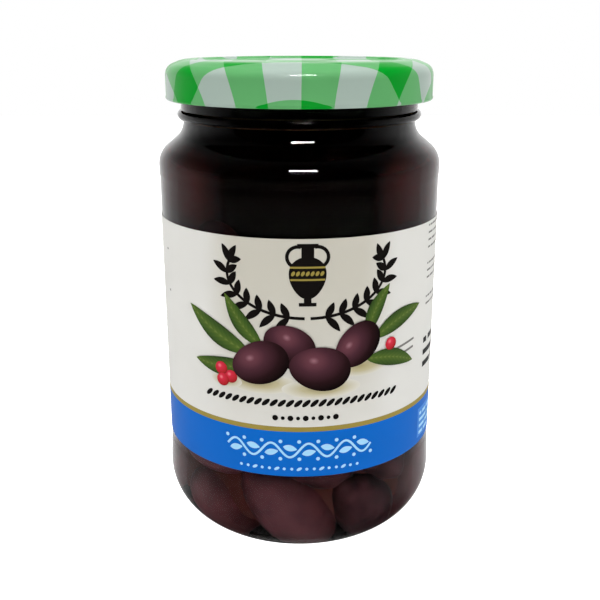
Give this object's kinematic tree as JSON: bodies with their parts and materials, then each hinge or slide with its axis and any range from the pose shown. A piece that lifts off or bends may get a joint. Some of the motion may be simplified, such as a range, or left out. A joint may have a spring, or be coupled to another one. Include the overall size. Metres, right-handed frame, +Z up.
{
  "type": "jar of olives",
  "caption": "Round glass jar with a bulged shoulder, beaded neck and rounded heel, filled with dark olives in brine, wrapped by a paper label and closed by a checked steel twist-off lid.",
  "frame": {"origin": "centre of the ring that the jar stands on, in the plane of that ring", "axes": "+Z up along the jar's axis, -Y towards the front of the label, +X to the right as seen from the front"},
  "size_m": [0.075, 0.075, 0.1262],
  "materials": {
    "jar_glass": "gloss",
    "olives_in_brine": "gloss",
    "lid_enamel": "gloss",
    "label_paper": "satin"
  },
  "bodies": {
    "root": {"jar": "jar_glass", "contents": "olives_in_brine", "lid": "lid_enamel", "label": "label_paper"}
  },
  "joints": []
}
